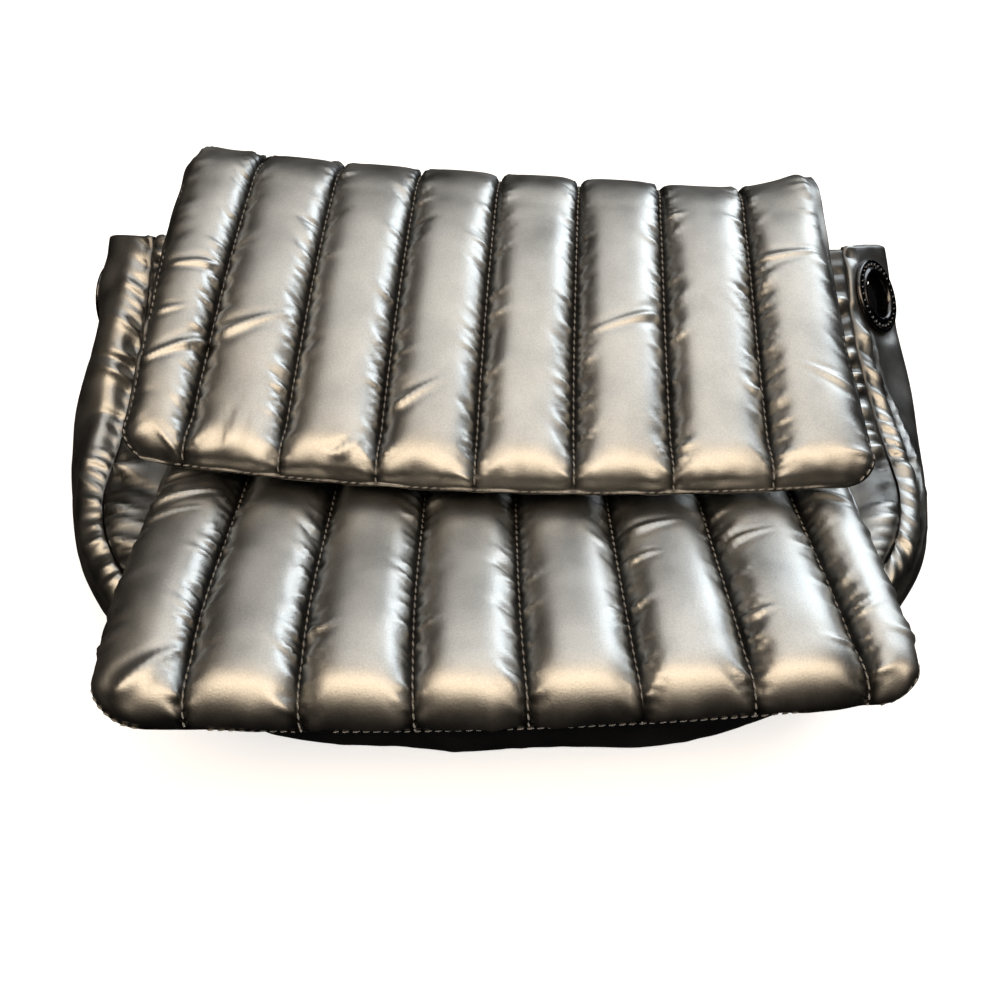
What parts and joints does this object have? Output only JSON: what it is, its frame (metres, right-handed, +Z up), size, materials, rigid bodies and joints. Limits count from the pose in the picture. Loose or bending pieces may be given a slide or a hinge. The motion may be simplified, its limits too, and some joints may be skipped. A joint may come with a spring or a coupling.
{
  "type": "puffer crossbody bag",
  "caption": "Quilted puffer crossbody bag lying on its back, with padded flaps over its mouth and front, rounded lower corners and metal eyelets in the gusset for a strap.",
  "frame": {"origin": "bottom centre of the bounding box, on the surface that the bag lies on", "axes": "+X across the bag, to the right as seen from its bottom edge; +Y from the bottom towards the mouth; +Z up, out of the front"},
  "size_m": [0.3375, 0.2479, 0.1044],
  "materials": {
    "shell_nylon": "quilted pewter nylon with a metallic satin sheen",
    "gusset_nylon": "smooth pewter nylon with a metallic satin sheen, puckered along its seams",
    "gunmetal": "polished gunmetal plating"
  },
  "bodies": {
    "root": {"back_panel": "shell_nylon", "front_panel": "shell_nylon", "gusset": "gusset_nylon", "main_flap": "shell_nylon", "front_flap": "shell_nylon", "eyelet_left": "gunmetal", "eyelet_right": "gunmetal"}
  },
  "joints": []
}
